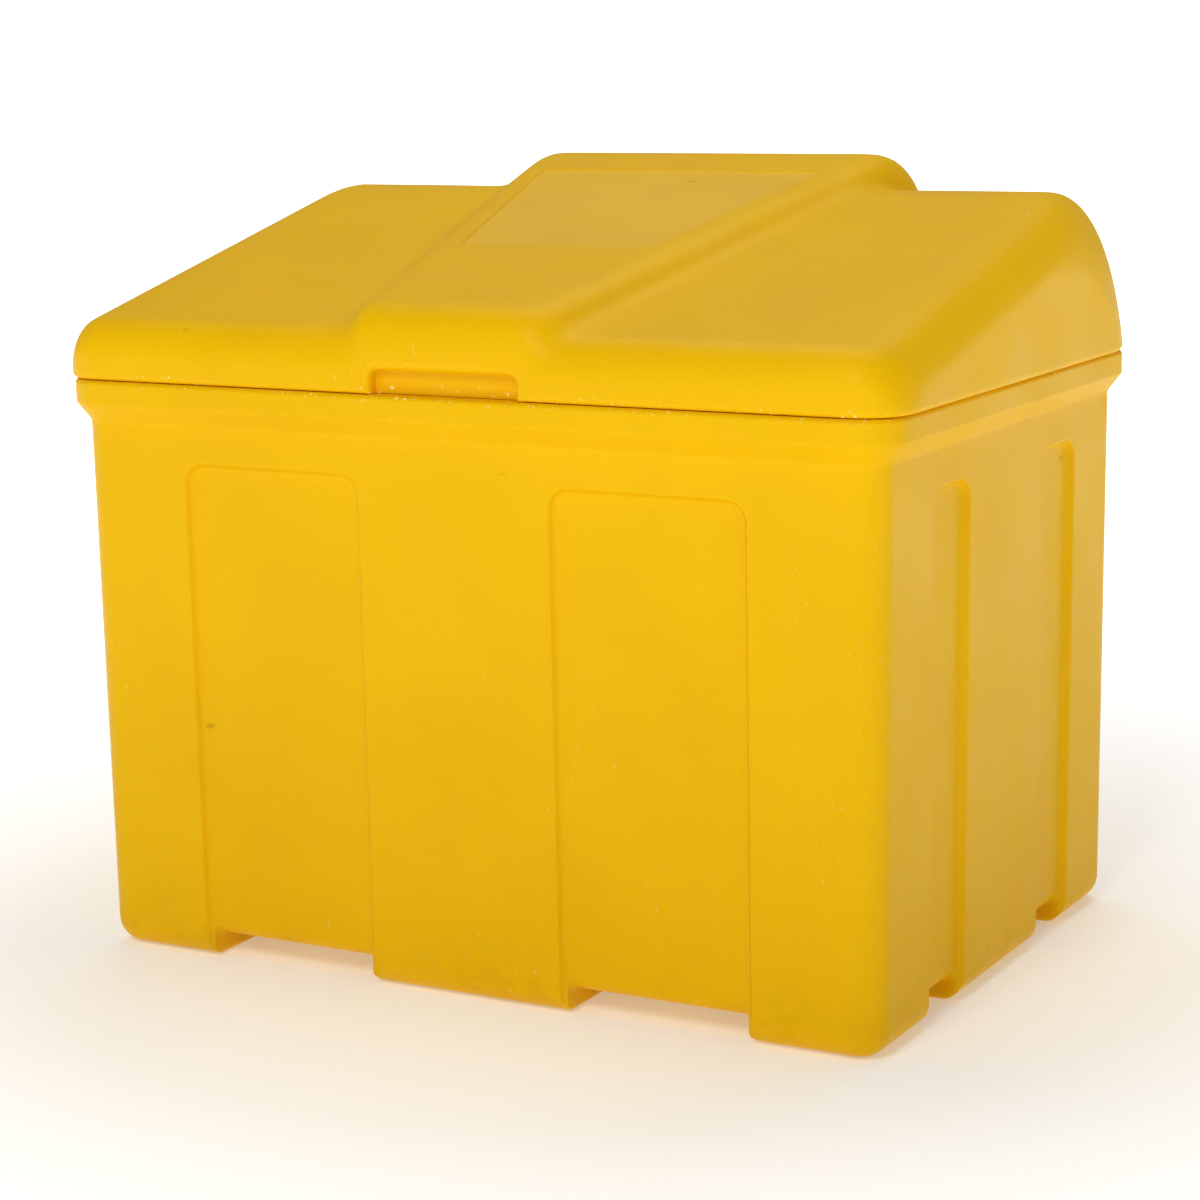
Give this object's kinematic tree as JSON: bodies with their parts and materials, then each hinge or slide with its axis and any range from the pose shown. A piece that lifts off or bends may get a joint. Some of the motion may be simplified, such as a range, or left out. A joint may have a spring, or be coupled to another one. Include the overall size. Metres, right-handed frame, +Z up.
{
  "type": "grit storage bin",
  "caption": "Rotomoulded plastic grit bin: a ribbed tub on moulded feet with a sloping, rear-hinged lid that has a raised middle, a sunk label panel and a finger pull.",
  "frame": {"origin": "on the floor, under the middle of the tub, on the underside of its middle foot", "axes": "+Z up, -Y towards the front with the finger pull, +X to the right of someone facing the front"},
  "size_m": [0.6666, 0.4809, 0.5781],
  "materials": {
    "hinge_left_lid_leaf": "stainless steel, pressed sheet",
    "hinge_left_pin": "stainless steel, peened wire",
    "hinge_left_tub_leaf": "stainless steel, pressed sheet",
    "hinge_right_lid_leaf": "stainless steel, pressed sheet",
    "hinge_right_pin": "stainless steel, peened wire",
    "hinge_right_tub_leaf": "stainless steel, pressed sheet",
    "lid": "satin rotomoulded polyethylene with a fine orange-peel skin",
    "lid_bolt_1": "stainless steel, turned or rolled",
    "lid_bolt_2": "stainless steel, turned or rolled",
    "lid_bolt_3": "stainless steel, turned or rolled",
    "lid_bolt_4": "stainless steel, turned or rolled",
    "lid_nut_1": "stainless steel, turned or rolled",
    "lid_nut_2": "stainless steel, turned or rolled",
    "lid_nut_3": "stainless steel, turned or rolled",
    "lid_nut_4": "stainless steel, turned or rolled",
    "lid_washer_1": "stainless steel, turned or rolled",
    "lid_washer_2": "stainless steel, turned or rolled",
    "lid_washer_3": "stainless steel, turned or rolled",
    "lid_washer_4": "stainless steel, turned or rolled",
    "tub": "satin rotomoulded polyethylene with a fine orange-peel skin",
    "tub_bolt_1": "stainless steel, turned or rolled",
    "tub_bolt_2": "stainless steel, turned or rolled",
    "tub_bolt_3": "stainless steel, turned or rolled",
    "tub_bolt_4": "stainless steel, turned or rolled",
    "tub_nut_1": "stainless steel, turned or rolled",
    "tub_nut_2": "stainless steel, turned or rolled",
    "tub_nut_3": "stainless steel, turned or rolled",
    "tub_nut_4": "stainless steel, turned or rolled",
    "tub_washer_1": "stainless steel, turned or rolled",
    "tub_washer_2": "stainless steel, turned or rolled",
    "tub_washer_3": "stainless steel, turned or rolled",
    "tub_washer_4": "stainless steel, turned or rolled"
  },
  "bodies": {
    "tub_body": {"hinge_left_pin": "hinge_left_pin", "hinge_left_tub_leaf": "hinge_left_tub_leaf", "hinge_right_pin": "hinge_right_pin", "hinge_right_tub_leaf": "hinge_right_tub_leaf", "tub": "tub", "tub_bolt_1": "tub_bolt_1", "tub_bolt_2": "tub_bolt_2", "tub_bolt_3": "tub_bolt_3", "tub_bolt_4": "tub_bolt_4", "tub_nut_1": "tub_nut_1", "tub_nut_2": "tub_nut_2", "tub_nut_3": "tub_nut_3", "tub_nut_4": "tub_nut_4", "tub_washer_1": "tub_washer_1", "tub_washer_2": "tub_washer_2", "tub_washer_3": "tub_washer_3", "tub_washer_4": "tub_washer_4"},
    "lid_body": {"hinge_left_lid_leaf": "hinge_left_lid_leaf", "hinge_right_lid_leaf": "hinge_right_lid_leaf", "lid": "lid", "lid_bolt_1": "lid_bolt_1", "lid_bolt_2": "lid_bolt_2", "lid_bolt_3": "lid_bolt_3", "lid_bolt_4": "lid_bolt_4", "lid_nut_1": "lid_nut_1", "lid_nut_2": "lid_nut_2", "lid_nut_3": "lid_nut_3", "lid_nut_4": "lid_nut_4", "lid_washer_1": "lid_washer_1", "lid_washer_2": "lid_washer_2", "lid_washer_3": "lid_washer_3", "lid_washer_4": "lid_washer_4"}
  },
  "joints": [
    {"name": "lid_hinge", "type": "hinge", "parent": "tub_body", "child": "lid_body", "pos_m": [0, 0.2411, 0.432], "axis": [-1, 0, 0], "range_deg": [0, 160]}
  ]
}
